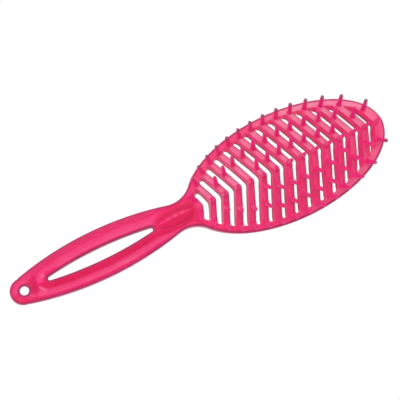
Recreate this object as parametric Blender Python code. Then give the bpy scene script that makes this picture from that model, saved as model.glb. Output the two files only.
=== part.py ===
"""A one-colour moulded vent brush: loop handle, domed oval head, chevron ribs and rows of tapered pins.

The brush lies on its back. X runs along it from the hang hole to the head's tip, Y across it, and Z up
through the pins. Lengths are in metres, and the origin is at the middle of the back.
The real brush is one moulding. It is divided here at its natural features, each of them a closed solid,
with a small parting gap between neighbours.
"""

import math

import bmesh
import bpy
from mathutils import Vector
from mathutils.geometry import delaunay_2d_cdt

# Whole brush
overall_length = 0.2350
head_length = 0.1242
head_width = 0.0630
parting_gap = 0.0003

# Handle outline
handle_width = 0.0278
neck_width = 0.0118
handle_end_radius = 0.0075
neck_fillet_radius = 0.0165
parting_past_head_end = 0.0022

# Holes in the handle
opening_width = 0.0070
opening_end_radius = 0.0012
opening_to_hang_hole = 0.0120
opening_to_thumb_rest = 0.0030
hang_hole_diameter = 0.0052
hang_hole_from_end = 0.0083

# Handle section
handle_thickness = 0.0072
handle_end_thickness = 0.0058
handle_taper_length = 0.0300
handle_edge_round = 0.0014
handle_back_round = 0.0008
lip_width = 0.0015
channel_depth = 0.0014
hole_boss_width = 0.0024
channel_run_out = 0.0060

# Thumb rest on the neck
thumb_rest_length = 0.0222
thumb_rest_width = 0.0084
thumb_rest_height = 0.0015
thumb_rest_before_head_end = 0.0086

# Head shell
rim_height = 0.0032
crown_height = 0.0054
shell_thickness = 0.0052
rim_band = 0.0041
rim_edge_round = 0.0009
neck_blend_length = 0.0240

# Chevron slots and the ribs between them
slot_count = 14
slot_width_share = 0.535
slot_draft = 0.0006
slot_end_round = 0.0014
wall_tilt_at_neck = math.radians(2.9)
wall_tilt_at_tip = math.radians(17.2)
chevron_sweep = math.radians(22.5)
chevron_apex_round = 0.0012

# Pins
pin_length = 0.0095
pin_to_rib_edge = 0.0005
pin_shank_share = 0.88
pin_tip_share = 0.68
first_pins_past_head_end = 0.0064
pin_pitch = 0.0096
pin_set_back = 0.0004
pin_inset_from_edge = 0.0044
pin_least_offset = 0.0044
pin_to_parting = 0.0006
pin_side_tilt = math.radians(23.6)
pin_tilt_at_neck = math.radians(-1.1)
pin_tilt_at_tip = math.radians(9.8)
edge_pin_splay = math.radians(11.5)
pin_fillet_share = 0.14
pin_end_shares = ((0.88, 1.00), (0.97, 0.70))

# How finely curves are drawn
end_arc_steps = 9
side_arc_steps = 20
fillet_steps = 7
shoulder_steps = 5
head_steps = 30
slot_end_steps = 4
hang_hole_steps = 24
opening_side_steps = 18
opening_end_steps = 4
arm_stations = 30
rib_steps = 8
rib_end_steps = 2
thumb_rest_steps = 32
pin_sides = 8
edge_round_steps = 2
channel_shares = (0.14, 0.32, 0.50, 0.68, 0.86)
thumb_rest_ring_shares = ((1.00, 0.00), (0.95, 0.45), (0.80, 0.76), (0.50, 0.95))
land_shares = (-0.75, -0.5, -0.25, 0.0, 0.25, 0.5, 0.75)

# Places that follow from the sizes above
tip_x = overall_length / 2
handle_end_x = tip_x - overall_length
head_end_x = tip_x - head_length
head_half_length = head_length / 2
head_half_width = head_width / 2
head_centre_x = tip_x - head_half_length
parting_x = head_end_x + parting_past_head_end
end_centre_x = handle_end_x + handle_end_radius
hang_hole_x = handle_end_x + hang_hole_from_end
thumb_rest_x = head_end_x - thumb_rest_before_head_end
opening_start_x = hang_hole_x + hang_hole_diameter / 2 + opening_to_hang_hole
opening_end_x = thumb_rest_x - thumb_rest_length / 2 - opening_to_thumb_rest
opening_middle_x = (opening_start_x + opening_end_x) / 2
first_pins_x = head_end_x + first_pins_past_head_end
last_pins_x = tip_x - pin_inset_from_edge
slot_pitch = (last_pins_x - first_pins_x) / slot_count
first_apex_x = first_pins_x + pin_set_back + slot_pitch / 2
slot_half_reach = slot_pitch * slot_width_share / 2
rib_width = slot_pitch * (1 - slot_width_share) * math.cos(chevron_sweep)
pin_root_radius = rib_width / 2 - pin_to_rib_edge
stub_inset = pin_inset_from_edge + pin_root_radius + pin_to_parting


def clear_scene():
    """Remove whatever the file holds."""
    for item in list(bpy.data.objects):
        bpy.data.objects.remove(item, do_unlink=True)


def plastic(name, colour):
    """A glossy pink moulding plastic."""
    material = bpy.data.materials.new(name)
    material.use_nodes = True
    shader = material.node_tree.nodes["Principled BSDF"]
    shader.inputs["Base Color"].default_value = colour
    shader.inputs["Roughness"].default_value = 0.22
    material.diffuse_color = colour
    return material


def smooth(share):
    """An even ease from 0 to 1."""
    share = min(max(share, 0.0), 1.0)
    return share * share * (3 - 2 * share)


def spread(first, last, steps):
    """Even values from first to last, both included."""
    return [first + (last - first) * step / steps for step in range(steps + 1)]


def arc(centre_x, centre_y, radius, angles):
    """Points of a round arc."""
    return [(centre_x + radius * math.cos(a), centre_y + radius * math.sin(a)) for a in angles]


def closed(half, share_last=True):
    """A whole loop from its upper half, whose first point, and last if shared, lie on the middle line."""
    upper = [(half[0][0], 0.0)] + half[1:]
    if share_last:
        upper[-1] = (half[-1][0], 0.0)
        return upper + [(x, -y) for x, y in reversed(upper[1:-1])]
    return upper + [(x, -y) for x, y in reversed(upper[1:])]


def head_point(angle, inset):
    """A point of the head's oval, moved inwards along its normal."""
    normal = Vector((math.cos(angle) / head_half_length, math.sin(angle) / head_half_width)).normalized()
    x = head_centre_x + head_half_length * math.cos(angle) - inset * normal.x
    y = head_half_width * math.sin(angle) - inset * normal.y
    return x, y


def turning_point(low, high, test):
    """The value between low and high up to which the test holds."""
    for _ in range(60):
        middle = (low + high) / 2
        if test(middle):
            low = middle
        else:
            high = middle
    return low


def side_reach(radius, half_width_there):
    """How far from its widest place the handle's side arc, or an arc tangent to it, has a half width."""
    drop = handle_width / 2 - half_width_there
    return math.sqrt(drop * (2 * radius - drop))


def end_reach(radius):
    """How far the centre of the handle's round end lies from the widest place."""
    return side_reach(radius - handle_end_radius, handle_end_radius)


def neck_fillet():
    """The hollow arc from the handle's side to the head's oval: its centre, ends and place on the oval."""

    def clear_of_handle(angle):
        x, y = head_point(angle, -neck_fillet_radius)
        return math.hypot(x - widest_x, y + side_centre_drop) > handle_side_radius + neck_fillet_radius

    turn = turning_point(math.pi / 2, math.pi, clear_of_handle)
    x, y = head_point(turn, -neck_fillet_radius)
    touch_x, touch_y = head_point(turn, 0)
    side_angle = math.atan2(-side_centre_drop - y, widest_x - x)
    head_angle = math.atan2(touch_y - y, touch_x - x)
    return x, y, side_angle, head_angle, turn


handle_side_radius = turning_point(
    handle_width,
    overall_length ** 2 / handle_width,
    lambda radius: end_reach(radius) + side_reach(radius, neck_width / 2) < head_end_x - end_centre_x,
)
side_centre_drop = handle_side_radius - handle_width / 2
widest_x = end_centre_x + end_reach(handle_side_radius)
opening_half_width = opening_width / 2
arm_width = handle_width / 2 - opening_half_width
opening_reach = (opening_end_x - opening_start_x) / 2 - opening_end_radius
opening_narrowing = opening_half_width - opening_end_radius
opening_radius = (opening_reach ** 2 / opening_narrowing + opening_half_width + opening_end_radius) / 2
opening_centre_drop = opening_radius - opening_half_width
fillet_x, fillet_y, fillet_side_angle, fillet_head_angle, head_start_angle = neck_fillet()
fillet_start_x = fillet_x + neck_fillet_radius * math.cos(fillet_side_angle)
head_start_x = head_point(head_start_angle, 0)[0]


def opening_loop(grow):
    """The finger opening, a lens of two long arcs joined by round ends, grown by a margin."""
    tangent = math.atan2(opening_centre_drop, opening_reach)
    round_end = opening_end_radius + grow
    end_angles = spread(math.pi, math.pi - tangent, opening_end_steps)
    half = arc(opening_middle_x - opening_reach, 0, round_end, end_angles)
    side_angles = spread(math.pi - tangent, tangent, opening_side_steps)[1:-1]
    half += arc(opening_middle_x, -opening_centre_drop, opening_radius + grow, side_angles)
    half += arc(opening_middle_x + opening_reach, 0, round_end, spread(tangent, 0.0, opening_end_steps))
    return closed(half)


def hang_hole_loop(grow):
    """The hang hole, grown by a margin."""
    angles = spread(math.pi, -math.pi, hang_hole_steps)[:-1]
    return arc(hang_hole_x, 0, hang_hole_diameter / 2 + grow, angles)


def thumb_rest_loop(share):
    """The thumb rest's oval, scaled about its middle."""
    angles = spread(math.pi, -math.pi, thumb_rest_steps)[:-1]
    long_radius = thumb_rest_length / 2 * share
    short_radius = thumb_rest_width / 2 * share
    return [(thumb_rest_x + long_radius * math.cos(a), short_radius * math.sin(a)) for a in angles]


def neck_arc(inset, first, cut_x, last, steps):
    """Part of the neck's hollow arc, moved inwards; an open end is cut off at cut_x."""
    radius = neck_fillet_radius + inset
    cut = -math.acos((cut_x - fillet_x) / radius)
    start = cut if first is None else first
    end = cut if last is None else last
    return arc(fillet_x, fillet_y, radius, spread(start, end, steps))


def handle_outline(inset):
    """The handle's outline, moved inwards, and cut square at the parting line."""
    end_tangent = math.atan2(side_centre_drop, end_centre_x - widest_x)
    half = arc(end_centre_x, 0, handle_end_radius - inset, spread(math.pi, end_tangent, end_arc_steps))
    side_angles = spread(end_tangent, fillet_side_angle + math.pi, side_arc_steps)
    half += arc(widest_x, -side_centre_drop, handle_side_radius - inset, side_angles)[1:]
    half += neck_arc(inset, fillet_side_angle, parting_x - parting_gap / 2, None, fillet_steps)[1:]
    return closed(half, share_last=False)


def head_outline(inset):
    """The head's outline, moved inwards, from the parting line round the tip and back."""
    half = neck_arc(inset, None, parting_x + parting_gap / 2, fillet_head_angle, shoulder_steps)[:-1]
    half += [head_point(angle, inset) for angle in spread(head_start_angle, 0.0, head_steps)]
    tip = [(half[-1][0], 0.0)]
    return half[:-1] + tip + [(x, -y) for x, y in reversed(half[:-1])]


def half_width(x):
    """Half the width of the brush's outline at x."""
    if x > head_start_x:
        return head_half_width * math.sqrt(max(1 - ((x - head_centre_x) / head_half_length) ** 2, 0.0))
    if x > fillet_start_x:
        return fillet_y - math.sqrt(neck_fillet_radius ** 2 - (x - fillet_x) ** 2)
    if x > end_centre_x:
        return math.sqrt(handle_side_radius ** 2 - (x - widest_x) ** 2) - side_centre_drop
    return math.sqrt(max(handle_end_radius ** 2 - (x - end_centre_x) ** 2, 0.0))


def inner_half_width(x):
    """Half the width, at x, of whichever of the finger opening and the thumb rest is there."""
    opening = math.sqrt(max(opening_radius ** 2 - (x - opening_middle_x) ** 2, 0.0)) - opening_centre_drop
    share = (x - thumb_rest_x) / (thumb_rest_length / 2)
    rest = thumb_rest_width / 2 * math.sqrt(max(1 - share ** 2, 0.0))
    return max(opening, rest, 0.0)


def distance_to(loop, x, y):
    """The distance from a point to a closed loop."""
    best = overall_length
    for (ax, ay), (bx, by) in zip(loop, loop[1:] + loop[:1]):
        run = (bx - ax) ** 2 + (by - ay) ** 2
        share = ((x - ax) * (bx - ax) + (y - ay) * (by - ay)) / run
        share = min(max(share, 0.0), 1.0)
        best = min(best, math.hypot(x - ax - share * (bx - ax), y - ay - share * (by - ay)))
    return best


def inside(loop, x, y):
    """Whether a point lies within a closed loop."""
    found = False
    for (ax, ay), (bx, by) in zip(loop, loop[1:] + loop[:1]):
        if (ay > y) != (by > y) and x < ax + (bx - ax) * (y - ay) / (by - ay):
            found = not found
    return found


handle_edge = handle_outline(0)
opening_edge = opening_loop(0)
hang_hole_edge = hang_hole_loop(0)
thumb_rest_edge = thumb_rest_loop(1)


def handle_top(x, y):
    """The handle's upper side, scooped between its outer lip and the lip of the opening or thumb rest."""
    rise = smooth((x - handle_end_x) / handle_taper_length)
    height = handle_end_thickness + (handle_thickness - handle_end_thickness) * rise
    if inside(thumb_rest_edge, x, y):
        return height
    outer = distance_to(handle_edge, x, y)
    inner = min(distance_to(opening_edge, x, y), distance_to(thumb_rest_edge, x, y))
    share = (outer - lip_width) / max(outer + inner - 2 * lip_width, lip_width)
    if share <= 0 or share >= 1:
        return height
    room = min((outer + inner) / arm_width, 1.0)
    boss = smooth(distance_to(hang_hole_edge, x, y) / hole_boss_width)
    run_out = smooth((parting_x - x) / channel_run_out)
    return height - channel_depth * room * boss * run_out * math.sin(math.pi * share) ** 2


def handle_back(x, y):
    """The handle's back is flat."""
    return 0.0


def neck_share(x):
    """How much of the handle's thickness the head still has at x: all at the parting line, then none."""
    return smooth(1 - (x - parting_x) / neck_blend_length)


def head_top(x, y):
    """The head's domed upper side."""
    width = max(half_width(x), rim_band)
    crown = crown_height * width / head_half_width * (1 - min(abs(y) / width, 1.0) ** 2)
    dome = rim_height + crown
    return dome + (handle_thickness - dome) * neck_share(x)


def head_back(x, y):
    """The head's hollow underside, flat along the edge of the rim and at the neck."""
    thickness = shell_thickness + (handle_thickness - shell_thickness) * neck_share(x)
    return max(head_top(x, y) - thickness, 0.0)


def chevron_x(apex_x, y):
    """A swept-back chevron line with a rounded apex."""
    run = math.hypot(y, chevron_apex_round) - chevron_apex_round
    return apex_x - math.tan(chevron_sweep) * run


def slot_apex(number):
    """The apex of a slot's middle line; slot 1 is at the neck."""
    return first_apex_x + (number - 1) * slot_pitch


def tip_share(x):
    """How far x lies from the first slot towards the tip, from 0 to 1."""
    return (x - first_apex_x) / (tip_x - first_apex_x)


def slot_edge(number, side, at_back):
    """The apex of a slot's edge line; side is -1 for its neck side and 1 for its tip side."""
    apex_x = slot_apex(number)
    if not at_back:
        return apex_x + side * slot_half_reach
    tilt = wall_tilt_at_neck + (wall_tilt_at_tip - wall_tilt_at_neck) * math.sqrt(tip_share(apex_x))
    return apex_x + side * (slot_half_reach - slot_draft) - shell_thickness * math.tan(tilt)


def oval_crossing(apex_x, inset):
    """The angle at which a chevron line meets the head's oval, moved inwards by inset."""

    def ahead_of_line(angle):
        x, y = head_point(angle, inset)
        return x > chevron_x(apex_x, y)

    return turning_point(0.0, math.pi, ahead_of_line)


def chevron_patch(left_apex, right_apex, inset, end_steps):
    """The closed outline between two chevron lines, ended by the head's oval moved inwards by inset."""
    end_angles = spread(oval_crossing(left_apex, inset), oval_crossing(right_apex, inset), end_steps)
    end = [head_point(angle, inset) for angle in end_angles]
    half = [(chevron_x(left_apex, y), y) for y in spread(0.0, end[0][1], rib_steps)[:-1]]
    half += end
    half += [(chevron_x(right_apex, y), y) for y in spread(end[-1][1], 0.0, rib_steps)[1:]]
    return closed(half)


def slot_end(number, at_back):
    """The rounded outer end of a slot's upper arm, from its neck side to its tip side."""
    neck_side = slot_edge(number, -1, at_back)
    tip_side = slot_edge(number, 1, at_back)
    points = []
    for angle in spread(-math.pi / 2, math.pi / 2, slot_end_steps):
        apex_x = (neck_side + tip_side) / 2 + (tip_side - neck_side) / 2 * math.sin(angle)
        inset = rim_band + slot_end_round * (1 - math.cos(angle))
        points.append(head_point(oval_crossing(apex_x, inset), inset))
    return points


def window_loop(at_back):
    """The window in the rim, with a slot end between each pair of the stubs that carry the edge pins."""
    half = []
    for number in range(1, slot_count + 1):
        half += slot_end(number, at_back)
        if number < slot_count:
            for apex_x in (slot_edge(number, 1, at_back), slot_edge(number + 1, -1, at_back)):
                half.append(head_point(oval_crossing(apex_x, stub_inset), stub_inset))
    neck_side = slot_edge(1, -1, at_back)
    tip_side = slot_edge(slot_count, 1, at_back)
    first = [(chevron_x(neck_side, y), y) for y in spread(0.0, half[0][1], rib_steps)[:-1]]
    last = [(chevron_x(tip_side, y), y) for y in spread(half[-1][1], 0.0, rib_steps)[1:]]
    return closed(first + half + last)


def rib_loop(number, at_back):
    """The outline of a rib, a parting gap inside the rim's stubs."""
    neck_side = slot_edge(number, 1, at_back)
    tip_side = slot_edge(number + 1, -1, at_back)
    return chevron_patch(neck_side, tip_side, stub_inset + parting_gap, rib_end_steps)


def rounded_edge(make_loop, radius, at_top):
    """The levels of a rounded edge from the bottom up: a loop, and its distance from the top or the back."""
    angles = spread(0.0, math.pi / 2, edge_round_steps)
    levels = [(make_loop(radius * (1 - math.cos(a))), radius * (1 - math.sin(a)), at_top) for a in angles]
    return levels if at_top else levels[::-1]


def wall(levels, top, back):
    """The rings of a wall from the bottom up."""
    rings = []
    for loop, distance, at_top in levels:
        if at_top:
            rings.append([(x, y, top(x, y) - distance) for x, y in loop])
        else:
            rings.append([(x, y, back(x, y) + distance) for x, y in loop])
    return rings


def triangulate(loops, extra):
    """Triangles over the area within the first loop and outside the others, as indices of the points."""
    points = []
    edges = []
    for loop in loops:
        start = len(points)
        points += loop
        edges += [(start + i, start + (i + 1) % len(loop)) for i in range(len(loop))]
    points += extra
    found = delaunay_2d_cdt([Vector(point) for point in points], edges, [], 1, 0.0)
    names = [group[0] for group in found[3]]
    triangles = []
    for face in found[2]:
        corners = [names[corner] for corner in face]
        x = sum(points[corner][0] for corner in corners) / len(corners)
        y = sum(points[corner][1] for corner in corners) / len(corners)
        if not any(inside(loop, x, y) for loop in loops[1:]):
            triangles.append(corners)
    return triangles


def add_object(name, vertices, faces, material):
    """Make one named, closed object whose faces look outwards."""
    mesh = bpy.data.meshes.new(name)
    mesh.from_pydata(vertices, [], faces)
    shape = bmesh.new()
    shape.from_mesh(mesh)
    bmesh.ops.recalc_face_normals(shape, faces=shape.faces)
    shape.to_mesh(mesh)
    shape.free()
    mesh.materials.append(material)
    item = bpy.data.objects.new(name, mesh)
    bpy.context.scene.collection.objects.link(item)


def add_slab(name, walls, top, back, top_points, back_points, pins, material):
    """A solid between two height fields, with an outer wall, a wall round each hole, and pins on top."""
    vertices = []
    faces = []
    ends = [[], []]
    for rings in walls + pins:
        starts = []
        for ring in rings:
            starts.append(len(vertices))
            vertices += ring
        count = len(rings[0])
        for below, above in zip(starts, starts[1:]):
            for i in range(count):
                j = (i + 1) % count
                faces.append((below + i, above + i, above + j, below + j))
        first = range(starts[0], starts[0] + count)
        last = range(starts[-1], starts[-1] + count)
        if rings in pins:
            ends[1].append(first)
            faces.append(tuple(last))
        else:
            ends[0].append(first)
            ends[1].append(last)
    for rings, height, extra in zip(ends, (back, top), (back_points, top_points)):
        loops = [[vertices[v][:2] for v in ring] for ring in rings]
        triangles = triangulate(loops, extra)
        known = [v for ring in rings for v in ring]
        known += range(len(vertices), len(vertices) + len(extra))
        vertices += [(x, y, height(x, y)) for x, y in extra]
        faces += [[known[corner] for corner in corners] for corners in triangles]
    add_object(name, vertices, faces, material)


def channel_points():
    """Points across each arm, and round the thumb rest, that carry the scooped channel."""
    edge = handle_outline(handle_edge_round)
    holes = [opening_loop(handle_edge_round), hang_hole_loop(handle_edge_round)]
    points = list(thumb_rest_edge)
    for x in spread(end_centre_x, parting_x, arm_stations)[:-1]:
        outer = half_width(x)
        inner = inner_half_width(x)
        for share in channel_shares:
            for side in (1, -1):
                points.append((x, side * (outer + (inner - outer) * share)))
    kept = []
    for x, y in points:
        in_holes = any(inside(hole, x, y) for hole in holes)
        nearest = min(distance_to(loop, x, y) for loop in [edge] + holes)
        if inside(edge, x, y) and not in_holes and nearest > lip_width / 3:
            kept.append((x, y))
    return kept


def build_handle():
    """The loop handle, with its finger opening, hang hole and scooped arms."""
    walls = []
    for make_loop in (handle_outline, opening_loop, hang_hole_loop):
        levels = rounded_edge(make_loop, handle_back_round, False)
        levels += rounded_edge(make_loop, handle_edge_round, True)
        walls.append(wall(levels, handle_top, handle_back))
    material = plastic("handle_plastic", (0.86, 0.04, 0.20, 1))
    add_slab("handle", walls, handle_top, handle_back, channel_points(), [], [], material)


def build_thumb_rest():
    """The raised oval on the neck, seated on the handle."""
    seat_z = handle_thickness + parting_gap
    vertices = []
    faces = [tuple(range(thumb_rest_steps))]
    for size_share, height_share in thumb_rest_ring_shares:
        z = seat_z + thumb_rest_height * height_share
        vertices += [(x, y, z) for x, y in thumb_rest_loop(size_share)]
    top = len(vertices)
    vertices.append((thumb_rest_x, 0.0, seat_z + thumb_rest_height))
    for i in range(thumb_rest_steps):
        j = (i + 1) % thumb_rest_steps
        for ring in range(len(thumb_rest_ring_shares) - 1):
            low = ring * thumb_rest_steps
            high = low + thumb_rest_steps
            faces.append((low + i, high + i, high + j, low + j))
        faces.append((high + i, top, high + j))
    material = plastic("thumb_rest_plastic", (0.84, 0.03, 0.16, 1))
    add_object("thumb_rest", vertices, faces, material)


def pin_direction(x, y, splay):
    """Pins lean away from the middle line, and near the tip also towards it; edge pins splay out."""
    tilt = pin_tilt_at_neck + (pin_tilt_at_tip - pin_tilt_at_neck) * tip_share(x)
    forward = math.sin(tilt + splay * (x - head_centre_x) / head_half_length)
    side = 0.0
    if abs(y) > 0:
        side = math.copysign(math.sin(pin_side_tilt), y)
    return Vector((forward, side, math.sqrt(1 - forward ** 2 - side ** 2)))


def pin(x, y, splay):
    """The rings of one tapered round-ended pin; its foot follows the dome."""
    direction = pin_direction(x, y, splay)
    across = direction.cross(Vector((1, 0, 0))).normalized()
    along = across.cross(direction)
    foot = Vector((x, y, head_top(x, y)))
    shares = [(0.0, pin_root_radius), (pin_fillet_share, pin_root_radius * pin_shank_share)]
    shares += [(share, pin_root_radius * pin_tip_share * narrowing) for share, narrowing in pin_end_shares]
    rings = []
    for share, radius in shares:
        ring = []
        for angle in spread(0.0, 2 * math.pi, pin_sides)[:-1]:
            point = foot + direction * pin_length * share
            point += along * radius * math.cos(angle) + across * radius * math.sin(angle)
            z = point.z if share > 0 else head_top(point.x, point.y)
            ring.append((point.x, point.y, z))
        rings.append(ring)
    return rings


def land_pins(land):
    """A land's pins: the pair near the rim's edge, more pairs a pitch apart inwards, and one at the apex."""
    apex_x = first_pins_x + land * slot_pitch
    offsets = [head_point(oval_crossing(apex_x, pin_inset_from_edge), pin_inset_from_edge)[1]]
    while offsets[-1] - pin_pitch > pin_least_offset:
        offsets.append(offsets[-1] - pin_pitch)
    edge_x = chevron_x(apex_x, offsets[0])
    edge_pins = [pin(edge_x, offsets[0], edge_pin_splay), pin(edge_x, -offsets[0], edge_pin_splay)]
    inner_pins = []
    if offsets[-1] > pin_least_offset:
        inner_pins.append(pin(apex_x, 0.0, 0.0))
    for y in offsets[1:]:
        inner_pins += [pin(chevron_x(apex_x, y), y, 0.0), pin(chevron_x(apex_x, y), -y, 0.0)]
    return edge_pins, inner_pins


def land_points():
    """Points on the rim's broad end at the neck that carry the blend into the handle."""
    edge = head_outline(rim_edge_round)
    feet = [[point[:2] for point in rings[0]] for group in land_pins(0) for rings in group]
    points = []
    for x in spread(parting_x, slot_edge(1, -1, False), 3)[1:-1]:
        reach = half_width(x) - rim_edge_round
        points += [(chevron_x(x, share * reach), share * reach) for share in land_shares]
    kept = []
    for x, y in points:
        nearest = min(distance_to(loop, x, y) for loop in [edge] + feet)
        if inside(edge, x, y) and not any(inside(foot, x, y) for foot in feet) and nearest > pin_to_parting:
            kept.append((x, y))
    return kept


def build_head_rim():
    """The oval rim with its edge pins, and its broad ends at the neck and at the tip."""
    outer_levels = [(head_outline(0), 0.0, False)] + rounded_edge(head_outline, rim_edge_round, True)
    window_levels = [(window_loop(True), 0.0, False), (window_loop(False), 0.0, True)]
    walls = [wall(outer_levels, head_top, head_back), wall(window_levels, head_top, head_back)]
    pins = []
    for land in range(slot_count + 1):
        edge_pins, inner_pins = land_pins(land)
        pins += edge_pins
        if land in (0, slot_count):
            pins += inner_pins
    material = plastic("rim_plastic", (0.88, 0.05, 0.22, 1))
    add_slab("head_rim", walls, head_top, head_back, land_points(), [], pins, material)


def build_ribs():
    """One chevron rib, with its pins, between each pair of neighbouring slots."""
    for number in range(1, slot_count):
        levels = [(rib_loop(number, True), 0.0, False), (rib_loop(number, False), 0.0, True)]
        walls = [wall(levels, head_top, head_back)]
        pins = land_pins(number)[1]
        material = plastic("rib_plastic", (0.90, 0.07, 0.25, 1))
        add_slab(f"rib_{number:02d}", walls, head_top, head_back, [], [], pins, material)


clear_scene()
build_handle()
build_thumb_rest()
build_head_rim()
build_ribs()
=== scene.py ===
"""Looks of the moulded vent brush: one seamless body in clear pink plastic, with its lights and camera.

The body is described by distances from its surface on a fine grid. Its sizes are those of part.py, with the
small moves of slots and pins that the photograph shows, and its skin is then drawn through that grid.
Lengths are in metres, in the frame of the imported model. Above and below, in a value's name, are the brush's
+Y and -Y sides, as the photograph shows them.
"""

import math
from itertools import product

import bpy
import numpy as np
from mathutils import Matrix, Vector


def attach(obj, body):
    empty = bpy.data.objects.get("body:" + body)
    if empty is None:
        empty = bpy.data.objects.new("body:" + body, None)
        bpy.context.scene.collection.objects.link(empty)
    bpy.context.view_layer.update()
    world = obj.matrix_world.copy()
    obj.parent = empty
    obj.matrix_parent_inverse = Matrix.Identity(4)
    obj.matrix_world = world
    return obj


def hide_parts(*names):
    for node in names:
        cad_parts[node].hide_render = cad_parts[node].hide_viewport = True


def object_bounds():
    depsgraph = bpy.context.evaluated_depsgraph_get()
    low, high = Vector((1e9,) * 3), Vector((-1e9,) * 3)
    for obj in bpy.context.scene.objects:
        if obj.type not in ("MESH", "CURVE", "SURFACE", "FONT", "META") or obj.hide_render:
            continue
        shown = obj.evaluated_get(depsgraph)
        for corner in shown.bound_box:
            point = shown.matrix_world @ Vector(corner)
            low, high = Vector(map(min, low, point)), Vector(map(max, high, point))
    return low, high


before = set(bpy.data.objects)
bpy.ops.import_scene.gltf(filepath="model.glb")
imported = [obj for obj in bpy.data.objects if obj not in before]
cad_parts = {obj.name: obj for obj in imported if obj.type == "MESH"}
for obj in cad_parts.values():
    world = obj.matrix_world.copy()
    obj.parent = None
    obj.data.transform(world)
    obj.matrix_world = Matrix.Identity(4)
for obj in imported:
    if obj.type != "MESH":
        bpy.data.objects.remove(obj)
cad_low, cad_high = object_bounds()

# Grid, and the fineness of outlines and searches
grid_step = 0.0004
grid_margin = 3
end_points = 40
side_points = 220
head_points = 160
opening_end_points = 9
opening_side_points = 60
bisect_rounds = 60
least_slope = 1e-6
cell_corners = 8

# Whole brush
overall_length = 0.2350
head_length = 0.1242
head_width = 0.0630

# Handle outline
handle_width = 0.0278
neck_width = 0.0118
handle_end_radius = 0.0075
neck_fillet_radius = 0.0165
most_side_radius = overall_length * 9

# Holes in the handle
arm_width = 0.0104
opening_end_radius = 0.0012
opening_to_thumb_rest = 0.0030
opening_to_hang_hole = 0.0120
hang_hole_diameter = 0.0052
hang_hole_from_end = 0.0083

# Handle section
handle_thickness = 0.0072
handle_end_thickness = 0.0058
handle_taper_length = 0.0300
handle_edge_round = 0.0016
handle_back_round = 0.0010
opening_edge_round = 0.0009
lip_width = 0.0012
channel_depth = 0.0016
channel_low_share = 0.34
hole_boss_width = 0.0030
channel_run_out = 0.0070

# Thumb rest on the neck
thumb_rest_length = 0.0222
thumb_rest_width = 0.0084
thumb_rest_height = 0.0015
thumb_rest_before_head_end = 0.0086

# Head shell
rim_height = 0.0032
crown_height = 0.0054
shell_thickness = 0.0052
rim_band = 0.0041
rim_edge_round = 0.0009
neck_blend_length = 0.0240
parting_past_head_end = 0.0022

# Chevron slots
slot_count = 14
slot_width = 0.0043
slot_width_at_tip = 0.0039
slot_draft = 0.0006
slot_end_round_above = 0.0016
slot_end_round_below = 0.0009
slot_edge_round = 0.0004
slot_end_draft_above = 0.30
chevron_sweep = math.radians(22.5)
chevron_apex_round = 0.0012

# Slot walls, which lean towards the tip from the back to the top
wall_lean_at_neck = 0.03
wall_lean_at_tip = 0.29
wall_lean_more_below = 0.15
wall_reach_in_shells = 1.5

# Slot widths in the photograph, by the share of the way to the tip
slot_narrowing_below = 0.0002
narrowing_shares = (0.15, 0.27, 0.34, 0.40)
narrowings_above = (0.0, 0.0003, 0.0003, 0.0)
narrowing_inset = 0.2
widening_shares = (0.40, 0.55)
widenings_below = (0.0, 0.0003)
widening_start = 0.0130
widening_reach = 0.0080

# Slot places in the photograph, by the slot's number from the neck
shifted_slots = (0, 3, 5, 7, 9, 12, 13)
slot_shifts = (0.0, 0.0, -0.0003, -0.0003, -0.0001, 0.0, 0.0004)
upper_shifted_slots = (5, 6)
upper_slot_shifts = (0.0, -0.0003)
lower_shifted_slots = (1, 5, 7, 13)
lower_slot_shifts = (-0.0005, -0.0004, -0.0001, -0.0001)
most_shift_share = 1.5

# Pins
pin_length = 0.0095
pin_root_diameter = 0.0032
pin_shank_diameter = 0.0030
pin_tip_diameter = 0.0022
first_pins_past_head_end = 0.0064
pin_pitch = 0.0096
pin_set_back = 0.0003
pin_inset_from_edge = 0.0044
pin_least_offset = 0.0044
pin_side_lean = 0.40
pin_lean_at_neck = -0.02
pin_lean_at_tip = 0.17
edge_pin_splay = 0.20
pin_root_blend = 0.0012
pin_sink = 0.0012

# Pins that stand or lean otherwise in the photograph, by lands, the rows of pins counted from the neck
moved_lands = range(6, 11)
lower_pin_shift = 0.0018
tip_pin_shift = 0.0012
tip_pin_splay = 0.12
tip_apex_pin_lean = -0.08
near_apex_lands = 7
near_apex_pin_lean = -0.15
near_lands = 5
near_pin_lean = -0.13

# Painted shade and highlight across the handle's arms, where light falls on their scooped channels, from the
# outer edge to the opening
arm_shares_above = (0.0, 0.12, 0.22, 0.38, 0.54, 0.80, 0.90, 1.0)
arm_tones_above = (0.16, 0.64, 0.64, 0.30, 0.64, 0.66, 0.20, 0.10)
arm_shares_below = (0.0, 0.06, 0.14, 0.24, 0.50, 0.62, 0.90, 1.0)
arm_tones_below = (0.02, 0.08, 0.20, 0.70, 0.66, 0.12, 0.12, 0.30)

# Painted shade on the neck and the thumb rest, and its painted glint; the dark shade tone also darkens the
# opening's end
neck_tone = 0.30
dark_shade_tone = 0.12
thumb_moat_width = 0.0030
thumb_moat_core = 0.3
moat_darkening = 0.4
glint_tone = 1.0
glint_long_share = 0.85
glint_short_share = 0.30
glint_width = 0.0014
glint_drop = 0.0004
glint_pitch = 0.0045
glint_level = 0.7
glint_ripple = 0.3

# Painted shade beside the hang hole and at the opening's end, and painted highlights where the channels start
opening_end_x = -0.0905
opening_end_reach = 0.0060
opening_end_width = 0.0030
opening_end_core = 0.3
hollow_tone = 0.07
hollow_x = -0.1031
hollow_slant = 0.2
hollow_half_width = 0.0024
hollow_half_reach = 0.0052
hollow_core = 0.5
channel_start_x = -0.0967
channel_start_y = 0.0029
channel_start_radius = 0.0024
channel_arc = ((-0.1006, -0.0022), (-0.0984, -0.0051))
channel_arc_width = 0.0013
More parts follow.
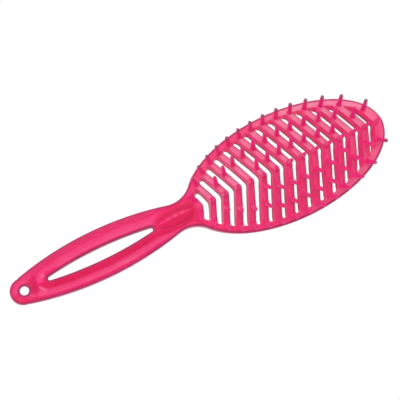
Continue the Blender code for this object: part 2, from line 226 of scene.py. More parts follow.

# Tones of the head: painted light makes the upper side and the ribs' upper arms lighter, and the rim pales
# towards the tip
rib_tone_above = 0.92
rib_tone_below_at_neck = 0.46
rib_tone_below_at_tip = 0.74
rim_tone = 0.48
rim_tone_more_above = 0.16
rim_tip_tone_above = 1.0
rim_tip_tone_below = 0.80
rim_core = 1.5
pale_from_x = 0.020
pale_reach = 0.065

# Painted shade: dark borders and lines, and the rim's darker pin ends
edge_reach = 0.0016
edge_core = 1.0
line_width = 0.0008
line_core = 1.0
slot_line_width = 0.0006
slot_line_core = 0.6
slot_back_inset = 0.5
slot_back_line_above = 0.85
slot_back_line_below = 0.90
edge_pin_core = 1.0
inner_pin_share = 0.90
dark_ends_from_x = 0.098

# Colours, and the values of the stored tone, pin or slope at which each is reached
black = (0, 0, 0)
white = (1, 1, 1)
# The tone's colours, from painted shade at 0 to painted highlight at 1
tone_stops = (
    (0.0, (0.58, 0.003, 0.060)),
    (dark_shade_tone, (0.80, 0.003, 0.100)),
    (0.4, (0.88, 0.022, 0.188)),
    (0.7, (0.95, 0.064, 0.240)),
    (1.0, (1.00, 0.270, 0.440)),
)
# The pins darken towards their ends in painted shade
pin_stops = (
    (0.35, (0.88, 0.028, 0.240)),
    (0.75, (0.92, 0.034, 0.260)),
    (inner_pin_share, (0.80, 0.030, 0.210)),
    (0.97, (0.34, 0.100, 0.190)),
)
pin_foot_stops = ((0.04, black), (0.16, white))
steep_stops = ((0.45, white), (0.90, black))
cloud_stops = (0.35, 0.65)
wall_colours = ((0.92, 0.024, 0.210), (0.96, 0.030, 0.240))
# Painted dark shade on edges and lines
edge_shade_colours = ((0.56, 0.014, 0.110), (0.62, 0.018, 0.130))
line_shade_colours = ((0.42, 0.016, 0.110), (0.50, 0.020, 0.135))
# Painted light that the slot walls emit, standing for light coming through the plastic
painted_wall_glow = (1.00, 0.040, 0.280)
painted_wall_glow_strength = 0.14

# Plastic
plastic_roughness = 0.30
plastic_ior = 1.49
plastic_specular = 0.20
plastic_transmission = 0.25
plastic_subsurface = 0.7
subsurface_radius = (1.0, 0.15, 0.60)
subsurface_scale = 0.004
tone_clouds = 0.32
cloud_scale = 90
cloud_detail = 3
grain_scale = 700
grain_detail = 2
grain_strength = 0.02
grain_depth = 0.0003

# Camera
view_direction = (-0.13, -0.11, 1.0)
view_distance = 0.900
view_target = (0.00189, 0.0034, 0.0040)
view_roll = math.radians(25.6)
pixels_per_millimetre = 1.765
millimetres_per_metre = 1000
sensor_width = 36.0
picture_pixels = 400
clip_start = 0.01
clip_end = 20

# Lamps: the share of the camera's right, up and backward directions, distance, size, power, and its gloss
lamps = {
    "key": ((0.15, 0.60, 0.80), 1.2, 1.1, 6.0, False),
    "fill": ((-0.9, -0.4, 0.45), 1.4, 0.9, 8.0, False),
    "glint": ((0.10, 0.75, 0.65), 1.2, 0.25, 0.5, True),
}

# Floor and surround
floor_reach = 1.2
floor_drop = 0.0002
floor_colour = (0.92, 0.92, 0.92)
floor_roughness = 0.9
world_strength = 0.80


def bisect(low, high, too_low):
    """The value between low and high where too_low turns false."""
    for _ in range(bisect_rounds):
        middle = (low + high) / 2
        if too_low(middle):
            low = middle
        else:
            high = middle
    return low


def side_reaches(radius):
    """From the widest place of the handle's side arc, how far the end's centre and the neck lie."""
    half = handle_width / 2
    to_end = math.sqrt((half - handle_end_radius) * (2 * radius - handle_end_radius - half))
    to_neck = math.sqrt((half - neck_width / 2) * (2 * radius - half + neck_width / 2))
    return to_end, to_neck


def side_too_short(radius):
    """Whether a side arc of this radius ends before the head."""
    return sum(side_reaches(radius)) < head_end_x - end_centre_x


def head_point(angle, inset):
    """A point of the head's oval, moved inwards along its normal."""
    normal = Vector((math.cos(angle) / head_half_length, math.sin(angle) / head_half_width)).normalized()
    x = head_centre_x + head_half_length * math.cos(angle) - inset * normal.x
    y = head_half_width * math.sin(angle) - inset * normal.y
    return x, y


def neck_fillet():
    """The hollow arc from the handle's side to the head's oval: its centre and where it touches the oval."""

    def clear(angle):
        x, y = head_point(angle, -neck_fillet_radius)
        return math.hypot(x - widest_x, y + side_centre_drop) > handle_side_radius + neck_fillet_radius

    angle = bisect(math.pi / 2, math.pi, clear)
    return *head_point(angle, -neck_fillet_radius), angle


# Places and sizes that follow from those above
tip_x = overall_length / 2
handle_end_x = tip_x - overall_length
head_end_x = tip_x - head_length
head_half_length = head_length / 2
head_half_width = head_width / 2
head_centre_x = tip_x - head_half_length
mid_arm_y = head_half_width / 2
parting_x = head_end_x + parting_past_head_end
end_centre_x = handle_end_x + handle_end_radius
hang_hole_x = handle_end_x + hang_hole_from_end
hole_edge_margin = 5 * handle_edge_round
thumb_rest_x = head_end_x - thumb_rest_before_head_end
channel_power = math.log(0.5) / math.log(channel_low_share)
first_pins_x = head_end_x + first_pins_past_head_end
slot_pitch = (tip_x - pin_inset_from_edge - first_pins_x) / slot_count
first_apex_x = first_pins_x + pin_set_back + slot_pitch / 2
slots_length = tip_x - first_apex_x
slots_start_x = head_end_x - 2 * slot_pitch
pin_margin = 2 * pin_root_diameter
pin_height = pin_length * math.cos(math.asin(pin_side_lean))
handle_side_radius = bisect(handle_width, most_side_radius, side_too_short)
widest_x = end_centre_x + side_reaches(handle_side_radius)[0]
side_centre_drop = handle_side_radius - handle_width / 2
fillet_x, fillet_y, head_start_angle = neck_fillet()
head_start_x = head_point(head_start_angle, 0)[0]
fillet_share = handle_side_radius / (handle_side_radius + neck_fillet_radius)
fillet_start_x = widest_x + (fillet_x - widest_x) * fillet_share


def smooth(share):
    """An even ease from 0 to 1."""
    share = np.clip(share, 0, 1)
    return share * share * (3 - 2 * share)


def soft_step(distance, reach):
    """An even ease from 0 to 1 whose middle lies where the distance is 0."""
    return smooth(distance / reach + 0.5)


def fade(distance, reach, core=0.0):
    """From 1 to 0 over one reach, which starts after a core of that many reaches."""
    return 1 - smooth(distance / reach - core)


def between(one, two, share):
    """The value that lies a share of the way from one to two."""
    return one + (two - one) * share


def arc_height(x, centre_x, radius):
    """How high a circle's upper half stands at each x, and 0 beyond it."""
    return np.sqrt(np.clip(radius ** 2 - (x - centre_x) ** 2, 0, None))


def half_width(x):
    """Half the width of the brush's outline at each x."""
    head = head_half_width * np.sqrt(np.clip(1 - ((x - head_centre_x) / head_half_length) ** 2, 0, None))
    fillet = fillet_y - arc_height(x, fillet_x, neck_fillet_radius)
    side = arc_height(x, widest_x, handle_side_radius) - side_centre_drop
    end = arc_height(x, end_centre_x, handle_end_radius)
    handle = np.where(x > end_centre_x, side, end)
    return np.where(x > head_start_x, head, np.where(x > fillet_start_x, fillet, handle))


def mirrored(upper):
    """A closed outline from its upper half."""
    upper[0, 1] = upper[-1, 1] = 0
    return np.concatenate([upper, (upper * (1, -1))[-2:0:-1]])


def outline_points():
    """The whole brush's outline."""
    end = end_centre_x + handle_end_radius * np.cos(np.linspace(math.pi, math.pi / 2, end_points))
    side = np.linspace(end_centre_x, head_start_x, side_points)[1:]
    head = [head_point(angle, 0)[0] for angle in np.linspace(head_start_angle, 0, head_points)[1:]]
    xs = np.concatenate([end, side, head])
    return mirrored(np.stack([xs, half_width(xs)], 1))


def arc_points(centre_x, centre_y, radius, angles):
    """Points on a circle."""
    return [(centre_x + radius * math.cos(angle), centre_y + radius * math.sin(angle)) for angle in angles]


def opening_points():
    """The finger opening: two long arcs between round ends, set off from the hang hole and the thumb rest."""
    left = hang_hole_x + hang_hole_diameter / 2 + opening_to_hang_hole
    right = thumb_rest_x - thumb_rest_length / 2 - opening_to_thumb_rest
    half = handle_width / 2 - arm_width
    reach = (right - left) / 2 - opening_end_radius
    radius = (reach ** 2 + half ** 2 - opening_end_radius ** 2) / (2 * (half - opening_end_radius))
    middle = (left + right) / 2
    tangent = math.atan2(radius - half, reach)
    end_turns = np.linspace(math.pi, math.pi - tangent, opening_end_points)
    side_turns = np.linspace(math.pi - tangent, tangent, opening_side_points)[1:-1]
    points = arc_points(middle - reach, 0, opening_end_radius, end_turns)
    points += arc_points(middle, half - radius, radius, side_turns)
    points += arc_points(middle + reach, 0, opening_end_radius, np.linspace(tangent, 0, opening_end_points))
    return mirrored(np.array(points))


def line_distance_squared(x, y, start, end):
    """The squared distance from the straight line between two points."""
    run_x = end[0] - start[0]
    run_y = end[1] - start[1]
    share = ((x - start[0]) * run_x + (y - start[1]) * run_y) / (run_x ** 2 + run_y ** 2)
    share = np.clip(share, 0, 1)
    return (x - start[0] - share * run_x) ** 2 + (y - start[1] - share * run_y) ** 2


def outline_distance(points, x, y):
    """Signed distance to a closed outline, negative within it."""
    nearest = np.full(x.shape, overall_length ** 2)
    within = np.zeros(x.shape, bool)
    for start, end in zip(points, np.roll(points, -1, 0)):
        nearest = np.minimum(nearest, line_distance_squared(x, y, start, end))
        if start[1] != end[1]:
            crossing = start[0] + (end[0] - start[0]) * (y - start[1]) / (end[1] - start[1])
            within ^= ((start[1] > y) != (end[1] > y)) & (x < crossing)
    return np.sqrt(nearest) * np.where(within, -1, 1)


def oval_distance(x, y, long_radius, short_radius):
    """Roughly the signed distance to an oval."""
    reach = np.hypot(x / long_radius, y / short_radius)
    slope = np.hypot(x / long_radius ** 2, y / short_radius ** 2)
    return reach * (reach - 1) / np.maximum(slope, least_slope)


def rounded_cut(one, two, radius):
    """Where two shapes overlap, with the edge between their surfaces rounded."""
    over = np.hypot(np.maximum(one + radius, 0), np.maximum(two + radius, 0))
    return np.minimum(np.maximum(one, two), -radius) + over


def blended_join(one, two, blend):
    """Two shapes together, with a fillet between them."""
    share = np.maximum(blend - np.abs(one - two), 0) / blend
    return np.minimum(one, two) - share * share * blend / 4


def neck_share(x):
    """How much of the handle's thickness the head still has at x."""
    return smooth(1 - (x - parting_x) / neck_blend_length)


def head_top(x, y):
    """The head's domed upper side."""
    width = np.maximum(half_width(x), rim_band)
    crown = crown_height * width / head_half_width * (1 - np.minimum(np.abs(y) / width, 1) ** 2)
    return between(rim_height + crown, handle_thickness, neck_share(x))


def head_back(x, y):
    """The head's hollow underside."""
    thickness = between(shell_thickness, handle_thickness, neck_share(x))
    return np.maximum(head_top(x, y) - thickness, 0)


def handle_top(x, outline, opening, hole, thumb):
    """The handle's upper side: its taper, its scooped channels and the thumb rest."""
    height = between(handle_end_thickness, handle_thickness, smooth((x - handle_end_x) / handle_taper_length))
    outer = np.maximum(-outline, 0)
    inner = np.maximum(np.minimum(opening, thumb), 0)
    share = np.clip((outer - lip_width) / np.maximum(outer + inner - 2 * lip_width, lip_width), 0, 1)
    room = np.minimum((outer + inner) / arm_width, 1)
    boss = smooth(hole / hole_boss_width)
    run_out = smooth((parting_x - x) / channel_run_out)
    scoop = np.sin(math.pi * share ** channel_power) ** 2
    height = height - channel_depth * room * boss * run_out * scoop
    lift = np.clip(-thumb / (thumb_rest_width / 2), 0, 1)
    return height + thumb_rest_height * np.sqrt(np.clip(1 - (1 - lift) ** 2, 0, 1))


def sweep_back(y):
    """How far behind its rounded apex a chevron line lies at y."""
    return math.tan(chevron_sweep) * (np.hypot(y, chevron_apex_round) - chevron_apex_round)


def tip_share(x):
    """How far along the slotted part of the head a place lies."""
    return np.clip((x - first_apex_x) / slots_length, 0, 1)


def wall_lean(x, y):
    """How far along X a slot's walls lean for each unit of their height."""
    change = wall_lean_at_tip - wall_lean_at_neck + wall_lean_more_below * smooth(-y / rim_band)
    return wall_lean_at_neck + change * np.sqrt(tip_share(x))


def half_slot(x, y):
    """Half a slot's width at the upper side."""
    share = tip_share(x)
    half = between(slot_width, slot_width_at_tip, share) / 2
    narrowing = np.interp(share, narrowing_shares, narrowings_above)
    half = half - narrowing * smooth(y / mid_arm_y - narrowing_inset)
    half = half - slot_narrowing_below * smooth(-y / mid_arm_y)
    outer_end = smooth((-y - widening_start) / widening_reach)
    return half + np.interp(share, widening_shares, widenings_below) * outer_end


def slot_shift(number, y):
    """How far along X the photograph's slots lie from even places."""
    above = smooth(y / mid_arm_y)
    below = np.clip(-y / mid_arm_y, 0, most_shift_share)
    shift = np.interp(number, shifted_slots, slot_shifts)
    shift = shift + np.interp(number, upper_shifted_slots, upper_slot_shifts) * above
    return shift + np.interp(number, lower_shifted_slots, lower_slot_shifts) * below


def across_slot(x, y):
    """The distance from the nearest slot's middle line, positive on the side of the tip."""
    apex = x + sweep_back(y) - first_apex_x
    number = np.clip(np.round(apex / slot_pitch), 0, slot_count - 1)
    return (apex - number * slot_pitch - slot_shift(number, y)) * math.cos(chevron_sweep)


def shifted_outline(outline, axis_x, along):
    """The outline's distance, read at shifted places along X."""
    spot = np.clip((along - axis_x[0]) / grid_step, 0, len(axis_x) - 1)
    low = np.minimum(spot.astype(int), len(axis_x) - 2)
    part = spot - low
    columns = np.broadcast_to(np.arange(outline.shape[1])[None, :, None], low.shape)
    return outline[low, columns] * (1 - part) + outline[low + 1, columns] * part


def cut_slots(solid, x, y, top, outline, grid):
    """Cut the chevron slots into the solid."""
    axis_x, _, axis_z = grid
    first = int(np.searchsorted(axis_x, slots_start_x))
    x = x[first:, :, None]
    y = np.broadcast_to(y[first:, :, None], solid[first:].shape)
    depth = np.clip(top[first:, :, None] - axis_z[None, None, :], 0, shell_thickness * wall_reach_in_shells)
    along = x + wall_lean(x, y) * depth
    half = half_slot(x, y) - slot_draft * np.clip(depth / shell_thickness, 0, 1)
    end_draft = slot_end_draft_above * depth * (y > 0)
    end_round = np.where(y > 0, slot_end_round_above, slot_end_round_below)
    past_end = shifted_outline(outline, axis_x, along) + rim_band + end_draft
    slot = rounded_cut(np.abs(across_slot(along, y)) - half, past_end, end_round)
    solid[first:] = rounded_cut(solid[first:], -slot, slot_edge_round)


def cut_hole(solid, hole, above, below):
    """Cut a hole straight through the solid, with its edges rounded above and below."""
    near = hole.min(1) < hole_edge_margin
    wall = np.broadcast_to(-hole[near][:, :, None], solid[near].shape)
    trimmed = rounded_cut(wall, above[near], opening_edge_round)
    trimmed = rounded_cut(trimmed, below[near], handle_back_round)
    solid[near] = np.maximum(solid[near], trimmed)


def pin_offsets(apex_x):
    """How far to each side of the middle a row's pins stand, from the rim inwards."""

    def past(angle):
        x, y = head_point(angle, pin_inset_from_edge)
        return x > apex_x - sweep_back(y)

    offsets = [head_point(bisect(0.0, math.pi, past), pin_inset_from_edge)[1]]
    while offsets[-1] - pin_pitch > pin_least_offset:
        offsets.append(offsets[-1] - pin_pitch)
    return offsets


def row_of_pins(land):
    """The places of a row's pins, how far each splays along the head, and how much more it leans forwards."""
    apex_x = first_pins_x + land * slot_pitch
    at_tip = land == slot_count
    offsets = pin_offsets(apex_x)
    pins = []
    if offsets[-1] > pin_least_offset:
        lean = tip_apex_pin_lean if at_tip else near_apex_pin_lean * (land < near_apex_lands)
        pins.append((apex_x, 0.0, 0.0, lean))
    for number, offset in enumerate(offsets):
        splay = edge_pin_splay if number == 0 else 0.0
        if at_tip:
            offset += tip_pin_shift
            splay = tip_pin_splay
        moved = number > 0 and land in moved_lands
        lower = offset + lower_pin_shift if moved else offset
        lean = near_pin_lean if number > 0 and land < near_lands else 0.0
        pins.append((apex_x - sweep_back(offset), offset, splay, 0.0))
        pins.append((apex_x - sweep_back(lower), -lower, splay, lean))
    return pins


def pin_direction(x, y, splay, lean):
    """The way a pin points: out to its side, and forwards by its place along the head."""
    forward = pin_lean_at_neck + (pin_lean_at_tip - pin_lean_at_neck) * (x - first_apex_x) / slots_length
    forward += lean + splay * (x - head_centre_x) / head_half_length
    side = math.copysign(pin_side_lean, y) if y != 0 else 0.0
    return np.array([forward, side, math.sqrt(1 - forward ** 2 - side ** 2)])


def add_pin(solid, foot, direction, grid):
    """Join a tapered, round-ended pin to the solid, with a fillet at its root."""
    start = foot - direction * pin_sink
    end = foot + direction * (pin_length - pin_tip_diameter / 2)
    low = np.minimum(start, end) - pin_margin
    high = np.maximum(start, end) + pin_margin
    window = tuple(
        slice(max(int(np.searchsorted(axis, least)) - 1, 0), int(np.searchsorted(axis, most)) + 1)
        for axis, least, most in zip(grid, low, high)
    )
    places = np.meshgrid(*[axis[part] for axis, part in zip(grid, window)], indexing="ij")
    from_start = np.stack([place - begin for place, begin in zip(places, start)], -1)
    run = np.linalg.norm(end - start)
    share = np.clip(from_start @ direction / run, 0, 1)
    away = np.linalg.norm(from_start - (share * run)[..., None] * direction, axis=-1)
    radius = pin_shank_diameter / 2 + (pin_tip_diameter - pin_shank_diameter) / 2 * share
    solid[window] = blended_join(solid[window], away - radius, pin_root_blend)


def add_pins(solid, grid):
    """Join all the pins to the solid."""
    for land in range(slot_count + 1):
        for x, y, splay, lean in row_of_pins(land):
            foot = np.array([x, y, float(head_top(np.array(x), np.array(y)))])
            add_pin(solid, foot, pin_direction(x, y, splay, lean), grid)


def make_grid():
    """The grid's coordinates along X, Y and Z."""
    margin = grid_margin * grid_step
    low = np.array(cad_low) - margin
    high = np.array(cad_high) + margin
    return [np.arange(start, end + grid_step, grid_step) for start, end in zip(low, high)]


def slope_cosine(height, grid):
    """The cosine of a surface's slope, which turns a height above it into a distance."""
    slope_x, slope_y = np.gradient(height, grid[0], grid[1])
    return 1 / np.sqrt(1 + slope_x ** 2 + slope_y ** 2)


def body_field(grid):
    """Distances from the brush's surface, negative within it, and the plans that its finish is painted by."""
    x, y = np.meshgrid(grid[0], grid[1], indexing="ij")
    z = grid[2][None, None, :]
    outline = outline_distance(outline_points(), x, y)
    opening = outline_distance(opening_points(), x, y)
    hole = np.hypot(x - hang_hole_x, y) - hang_hole_diameter / 2
    thumb = oval_distance(x - thumb_rest_x, y, thumb_rest_length / 2, thumb_rest_width / 2)
    on_head = soft_step(x - parting_x, channel_run_out)
    top = between(handle_top(x, outline, opening, hole, thumb), head_top(x, y), on_head)
    back = head_back(x, y) * on_head
    above = (z - top[:, :, None]) * slope_cosine(top, grid)[:, :, None]
    below = (back[:, :, None] - z) * slope_cosine(back, grid)[:, :, None]
    side = np.broadcast_to(outline[:, :, None], above.shape)
    top_round = between(handle_edge_round, rim_edge_round, on_head)
    solid = rounded_cut(side, above, top_round[:, :, None])
    solid = rounded_cut(solid, below, handle_back_round)
    cut_hole(solid, opening, above, below)
    cut_hole(solid, hole, above, below)
    cut_slots(solid, x, y, top, outline, grid)
    add_pins(solid, grid)
    plans = {
        "top": top,
        "back": back,
        "from_side": -outline,
        "from_hole": np.minimum(opening, hole),
        "before_slot": np.where(rim_band + outline < 0, -across_slot(x, y) - half_slot(x, y), slot_pitch),
        "tone": tone_plan(x, y, outline, np.minimum(opening, thumb), thumb),
    }
    return solid, plans


def hang_end_tone(x, y, from_opening, tone):
    """The painted tone beside the hang hole: painted shade in a hollow and at the opening's end, and painted
    highlights at two channel starts.
    """
    hollow = np.hypot((x - hollow_x - hollow_slant * y) / hollow_half_width, y / hollow_half_reach)
    tone = between(tone, hollow_tone, fade(hollow, 1, hollow_core))
    opening_end = fade(x - opening_end_x, opening_end_reach)
    tone = between(tone, dark_shade_tone, opening_end * fade(from_opening, opening_end_width, opening_end_core))
    # Painted highlights where the two channels start
    start = fade(np.hypot(x - channel_start_x, y - channel_start_y), channel_start_radius)
    arc = fade(np.sqrt(line_distance_squared(x, y, *channel_arc)), channel_arc_width)
    return np.maximum(tone, np.maximum(start, arc) * glint_tone)


def thumb_rest_tone(x, y, outer, thumb, tone):
    """Painted shade on the thumb rest and the neck, darker in its moat, with a rippled painted highlight
    along the rest's upper shoulder.
    """
    x = x - thumb_rest_x
    on_thumb = fade(thumb, thumb_moat_width, thumb_moat_core)
    tone = between(tone, dark_shade_tone, on_thumb)
    # Painted shade in the moat, towards the head and on the lower side
    moat = fade(np.abs(thumb - lip_width / 2), lip_width)
    tone = tone * (1 - moat * moat_darkening * smooth(x / thumb_rest_length - y / thumb_rest_width))
    on_neck = soft_step(x, thumb_rest_length) * (1 - on_thumb)
    tone = between(tone, neck_tone, on_neck * smooth(outer / hole_boss_width))
    # A painted highlight along the rest's upper shoulder
    long_radius = glint_long_share * thumb_rest_length / 2
    short_radius = glint_short_share * thumb_rest_width / 2
    ring = oval_distance(x, y + glint_drop, long_radius, short_radius)
    glint = fade(np.abs(ring), glint_width) * smooth((y + glint_drop) / glint_width) * (thumb < 0)
    glint = glint * (glint_level + glint_ripple * np.cos(2 * math.pi * x / glint_pitch))
    return np.maximum(tone, glint * glint_tone)


def head_tone(x, y, outer):
    """The head's tone: the rim pales towards the tip, and the rim's upper side and the ribs' upper arms are
    painted lighter, where the light falls.
    """
    above = smooth(y / mid_arm_y)
    pale = smooth((x - pale_from_x) / pale_reach)
    rim = rim_tone + rim_tone_more_above * above
    rim = between(rim, between(rim_tip_tone_below, rim_tip_tone_above, above), pale)
    below = between(rib_tone_below_at_neck, rib_tone_below_at_tip, tip_share(x))
    ribs = between(below, rib_tone_above, soft_step(y, rim_band))
    return between(ribs, rim, fade(outer, rim_band / 2, rim_core))


def tone_plan(x, y, outline, from_opening, thumb):
    """How light the plastic is painted from above, between 0 for the darkest painted shade and 1 for the
    palest painted highlight.
    """
    outer = np.maximum(-outline, 0)
    share = outer / np.maximum(outer + np.maximum(from_opening, 0), lip_width)
    bands_above = np.interp(share, arm_shares_above, arm_tones_above)
    bands_below = np.interp(share, arm_shares_below, arm_tones_below)
    handle = between(bands_below, bands_above, soft_step(y, 2 * lip_width))
    handle = hang_end_tone(x, y, from_opening, handle)
    handle = thumb_rest_tone(x, y, outer, thumb, handle)
    return between(handle, head_tone(x, y, outer), smooth((x - parting_x) / channel_run_out))


def surface_points(field, cells, origin):
    """The skin's point in each cell: the middle of the places where the cell's edges cross the surface."""
    total = np.zeros((len(cells), 3))
    count = np.zeros(len(cells))
    for axis in range(3):
        one, two = [other for other in range(3) if other != axis]
        for shift_one, shift_two in product((0, 1), repeat=2):
            near = cells.copy()
            near[:, one] += shift_one
            near[:, two] += shift_two
            far = near.copy()
            far[:, axis] += 1
            near_value = field[tuple(near.T)]
            far_value = field[tuple(far.T)]
            crossed = (near_value < 0) != (far_value < 0)
            spot = near[crossed].astype(float)
            spot[:, axis] += near_value[crossed] / (near_value[crossed] - far_value[crossed])
            total[crossed] += spot
            count[crossed] += 1
    return origin + total / count[:, None] * grid_step


def surface_faces(field, point_numbers):
    """The skin's four-sided faces, one across each edge of the grid that crosses the surface."""
    faces = []
    for axis in range(3):
        one, two = [other for other in range(3) if other != axis]
        low = [slice(None)] * 3
        high = [slice(None)] * 3
        low[axis] = slice(0, -1)
        high[axis] = slice(1, None)
        near_within = field[tuple(low)] < 0
        far_within = field[tuple(high)] < 0
        edges = np.argwhere(near_within != far_within)
        ring = []
        for shift_one, shift_two in ((0, 0), (-1, 0), (-1, -1), (0, -1)):
            cell = edges.copy()
            cell[:, one] += shift_one
            cell[:, two] += shift_two
            ring.append(point_numbers[tuple(cell.T)])
        quads = np.stack(ring, 1)
        turned = far_within[tuple(edges.T)] != (axis == 1)
        quads[turned] = quads[turned][:, ::-1]
        faces.append(quads)
    return np.concatenate(faces)


def skin(field, origin):
    """Points and four-sided faces of the surface where the field is zero."""
    size = tuple(length - 1 for length in field.shape)
    corners_within = np.zeros(size, np.int8)
    for corner in product((0, 1), repeat=3):
        window = tuple(slice(start, start + length) for start, length in zip(corner, size))
        corners_within += field[window] < 0
    cells = np.argwhere((corners_within > 0) & (corners_within < cell_corners))
    point_numbers = np.full(size, -1, np.int32)
    point_numbers[tuple(cells.T)] = np.arange(len(cells))
    return surface_points(field, cells, origin), surface_faces(field, point_numbers)


def make_mesh(name, points, faces):
    """A smooth-shaded mesh object."""
    mesh = bpy.data.meshes.new(name)
    mesh.vertices.add(len(points))
    mesh.vertices.foreach_set("co", points.astype(np.float32).ravel())
    mesh.loops.add(faces.size)
    mesh.loops.foreach_set("vertex_index", faces.astype(np.int32).ravel())
    mesh.polygons.add(len(faces))
    mesh.polygons.foreach_set("loop_start", np.arange(0, faces.size, faces.shape[1], dtype=np.int32))
    mesh.update(calc_edges=True)
    mesh.validate()
    mesh.shade_smooth()
    item = bpy.data.objects.new(name, mesh)
    bpy.context.scene.collection.objects.link(item)
    return item


def read_plan(values, grid, points):
    """A plan of values on the grid, read at each point."""
    spots = [(points[:, axis] - grid[axis][0]) / grid_step for axis in (0, 1)]
    low = [np.clip(spot.astype(int), 0, size - 2) for spot, size in zip(spots, values.shape)]
    part = [spot - whole for spot, whole in zip(spots, low)]
    one = values[low[0], low[1]] * (1 - part[0]) + values[low[0] + 1, low[1]] * part[0]
    two = values[low[0], low[1] + 1] * (1 - part[0]) + values[low[0] + 1, low[1] + 1] * part[0]
    return one * (1 - part[1]) + two * part[1]


def carry(item, name, values):
    """Store a value on each of an object's points for its material."""
    layer = item.data.attributes.new(name, "FLOAT", "POINT")
    layer.data.foreach_set("value", values.astype(np.float32))


def paint(brush, points, plans, grid):
    """Store what the plastic shows at each point: its painted edge shade, pins with their painted dark ends,
    painted shade lines and painted tone.
    """
    plan = {name: read_plan(values, grid, points) for name, values in plans.items()}
    x, y, height = points.T
    from_side = plan["from_side"]
    from_edge = np.minimum(from_side, plan["from_hole"])
    on_handle = smooth((parting_x - x) / channel_run_out)
    # Painted dark shade on steep faces near the outline and holes, and on all of the handle's steep faces
    carry(brush, "edge", np.maximum(fade(from_edge, edge_reach, edge_core), on_handle))
    # How far up its pin a point lies, where only the pins on the upper rim and at the tip reach 1, whose ends
    # are painted in dark shade
    dark_end = np.maximum(smooth(y / rim_band), smooth((x - dark_ends_from_x) / rim_band))
    dark_end = fade(from_side, rim_band / 2, edge_pin_core) * dark_end * (np.abs(y) > pin_root_diameter)
    up_pin = np.clip((height - plan["top"]) / pin_height, 0, 1)
    carry(brush, "pin", up_pin * between(inner_pin_share, 1, dark_end))
    # Painted shade lines: the outline, the slots' rear edges at the top, and the foot of their visible walls
    border = fade(from_edge, line_width, line_core)
    slot_top = fade(np.abs(plan["before_slot"]), slot_line_width, slot_line_core)
    slot_top = slot_top * (np.abs(plan["top"] - height) < slot_line_width)
    wall_width = (height - plan["back"]) * (wall_lean(x, y) - view_direction[0])
    slot_back = fade(wall_width, slot_line_width, slot_line_core)
    slot_back = slot_back * smooth((from_side - rim_band) / edge_reach - slot_back_inset)
    slot_back = slot_back * np.where(y > 0, slot_back_line_above, slot_back_line_below)
    carry(brush, "line", np.maximum(border, np.maximum(slot_top, slot_back)))
    carry(brush, "tone", plan["tone"])


def plastic():
    """Clear pink plastic whose tone, edges, lines and pin ends carry painted shade and highlights, and whose
    slot walls emit a little painted light.
    """
    material = bpy.data.materials.new("pink_plastic")
    material.use_nodes = True
    nodes = material.node_tree.nodes
    links = material.node_tree.links
    shader = nodes["Principled BSDF"]
    shader.inputs["Roughness"].default_value = plastic_roughness
    shader.inputs["IOR"].default_value = plastic_ior
    shader.inputs["Specular IOR Level"].default_value = plastic_specular
    shader.inputs["Transmission Weight"].default_value = plastic_transmission
    shader.inputs["Subsurface Weight"].default_value = plastic_subsurface
    shader.inputs["Subsurface Radius"].default_value = subsurface_radius
    shader.inputs["Subsurface Scale"].default_value = subsurface_scale
    shader.inputs["Emission Color"].default_value = (*painted_wall_glow, 1)
    place = nodes.new("ShaderNodeTexCoord")

    def noise(scale, detail):
        node = nodes.new("ShaderNodeTexNoise")
        node.inputs["Scale"].default_value = scale
        node.inputs["Detail"].default_value = detail
        links.new(place.outputs["Object"], node.inputs["Vector"])
        return node.outputs["Fac"]

    def ramp(value, stops):
        node = nodes.new("ShaderNodeValToRGB")
        bar = node.color_ramp
        while len(bar.elements) < len(stops):
            bar.elements.new(0.5)
        for element, (position, colour) in zip(bar.elements, stops):
            element.position = position
            element.color = (*colour, 1)
        links.new(value, node.inputs["Fac"])
        return node.outputs["Color"]

    def mix(share, one, two):
        node = nodes.new("ShaderNodeMix")
        node.data_type = "RGBA"
        links.new(share, node.inputs["Factor"])
        links.new(one, node.inputs["A"])
        links.new(two, node.inputs["B"])
        return node.outputs["Result"]

    def carried(name):
        node = nodes.new("ShaderNodeAttribute")
        node.attribute_name = name
        return node.outputs["Fac"]

    def math_node(operation, one, two):
        node = nodes.new("ShaderNodeMath")
        node.operation = operation
        for value, socket in zip((one, two), node.inputs):
            if isinstance(value, float):
                socket.default_value = value
            else:
                links.new(value, socket)
        return node.outputs["Value"]

    def clouded(colours):
        return ramp(clouds, list(zip(cloud_stops, colours)))

    clouds = noise(cloud_scale, cloud_detail)
    cloudy = math_node("MULTIPLY", math_node("SUBTRACT", clouds, 0.5), tone_clouds)
    # The tone's colours run from painted shade to painted highlight, with random clouds
    level = ramp(math_node("ADD", carried("tone"), cloudy), tone_stops)
    normal = nodes.new("ShaderNodeSeparateXYZ")
    links.new(place.outputs["Normal"], normal.inputs["Vector"])
    steepness = ramp(normal.outputs["Z"], steep_stops)
    # Steep faces take the wall colours or the painted edge shade; painted shade lines and pin ends go over
    # them
    steep = mix(carried("edge"), clouded(wall_colours), clouded(edge_shade_colours))
    body = mix(carried("line"), mix(steepness, level, steep), clouded(line_shade_colours))
    is_pin = ramp(carried("pin"), pin_foot_stops)
    links.new(mix(is_pin, body, ramp(carried("pin"), pin_stops)), shader.inputs["Base Color"])
    # Painted light emitted by the bare steep faces, the slot walls, standing for light through the plastic
    painted_glow = steepness
    for covered in (carried("edge"), carried("line"), is_pin):
        painted_glow = math_node("MULTIPLY", painted_glow, math_node("SUBTRACT", 1.0, covered))
    links.new(math_node("MULTIPLY", painted_glow, painted_wall_glow_strength), shader.inputs["Emission Strength"])
    bump = nodes.new("ShaderNodeBump")
    bump.inputs["Strength"].default_value = grain_strength
    bump.inputs["Distance"].default_value = grain_depth
    links.new(noise(grain_scale, grain_detail), bump.inputs["Height"])
    links.new(bump.outputs["Normal"], shader.inputs["Normal"])
    return material


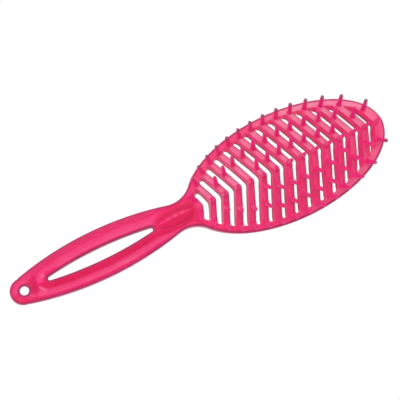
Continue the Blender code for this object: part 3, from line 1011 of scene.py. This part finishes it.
def floor_paper():
    """Pale paper that camera, glossy and transmission rays see as plain white, and other rays as lit paper
    with the brush's shadow.
    """
    material = bpy.data.materials.new("floor_paper")
    material.use_nodes = True
    nodes = material.node_tree.nodes
    links = material.node_tree.links
    shader = nodes["Principled BSDF"]
    shader.inputs["Base Color"].default_value = (*floor_colour, 1)
    shader.inputs["Roughness"].default_value = floor_roughness
    plain_white = nodes.new("ShaderNodeEmission")
    plain_white.inputs["Color"].default_value = (*white, 1)
    path = nodes.new("ShaderNodeLightPath")
    seen = path.outputs["Is Camera Ray"]
    for ray in ("Is Transmission Ray", "Is Glossy Ray"):
        either = nodes.new("ShaderNodeMath")
        either.operation = "MAXIMUM"
        links.new(seen, either.inputs[0])
        links.new(path.outputs[ray], either.inputs[1])
        seen = either.outputs["Value"]
    mix = nodes.new("ShaderNodeMixShader")
    links.new(seen, mix.inputs["Fac"])
    links.new(shader.outputs["BSDF"], mix.inputs[1])
    links.new(plain_white.outputs["Emission"], mix.inputs[2])
    links.new(mix.outputs["Shader"], nodes["Material Output"].inputs["Surface"])
    return material


def camera_axes():
    """The camera's right, up and backward directions."""
    back = Vector(view_direction).normalized()
    flat = (Vector((1, 0, 0)) - back * back.x).normalized()
    side = back.cross(flat)
    right = flat * math.cos(view_roll) - side * math.sin(view_roll)
    up = flat * math.sin(view_roll) + side * math.cos(view_roll)
    return right, up, back


def make_camera():
    """The photograph's camera."""
    right, up, back = camera_axes()
    data = bpy.data.cameras.new("camera")
    data.sensor_width = sensor_width
    data.lens = sensor_width * pixels_per_millimetre * view_distance * millimetres_per_metre / picture_pixels
    data.clip_start = clip_start
    data.clip_end = clip_end
    item = bpy.data.objects.new("camera", data)
    turn = Matrix((right, up, back)).transposed().to_4x4()
    item.matrix_world = Matrix.Translation(Vector(view_target) + back * view_distance) @ turn
    bpy.context.scene.collection.objects.link(item)
    bpy.context.scene.camera = item


def make_lamp(name, shares, distance, size, power, shines):
    """A soft square lamp, placed by the camera's directions, which the gloss shows if it shines."""
    right, up, back = camera_axes()
    direction = (right * shares[0] + up * shares[1] + back * shares[2]).normalized()
    data = bpy.data.lights.new(name, "AREA")
    data.size = size
    data.energy = power
    item = bpy.data.objects.new(name, data)
    item.location = Vector(view_target) + direction * distance
    item.rotation_mode = "QUATERNION"
    item.rotation_quaternion = (-direction).to_track_quat("-Z", "Y")
    item.visible_glossy = shines
    bpy.context.scene.collection.objects.link(item)


def make_floor():
    """The plain pale floor."""
    mesh = bpy.data.meshes.new("floor")
    level = cad_low[2] - floor_drop
    turns = ((-1, -1), (1, -1), (1, 1), (-1, 1))
    mesh.from_pydata([(x * floor_reach, y * floor_reach, level) for x, y in turns], [], [(0, 1, 2, 3)])
    mesh.materials.append(floor_paper())
    item = bpy.data.objects.new("floor", mesh)
    bpy.context.scene.collection.objects.link(item)


def make_world():
    """An even pale surround."""
    world = bpy.data.worlds.new("studio")
    bpy.context.scene.world = world
    world.use_nodes = True
    background = world.node_tree.nodes["Background"]
    background.inputs["Color"].default_value = (*white, 1)
    background.inputs["Strength"].default_value = world_strength


def make_brush():
    """The brush's one moulded body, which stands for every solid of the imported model."""
    grid = make_grid()
    field, plans = body_field(grid)
    points, faces = skin(field, np.array([axis[0] for axis in grid]))
    brush = make_mesh("brush_body", points, faces)
    paint(brush, points, plans, grid)
    brush.data.materials.append(plastic())
    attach(brush, "root")
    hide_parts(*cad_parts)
    print("skin", len(points), "points", len(faces), "faces")


def main():
    """Build the scene."""
    make_brush()
    make_floor()
    make_world()
    for name, lamp in lamps.items():
        make_lamp(name, *lamp)
    make_camera()
    bpy.context.scene.view_settings.view_transform = "Standard"


main()
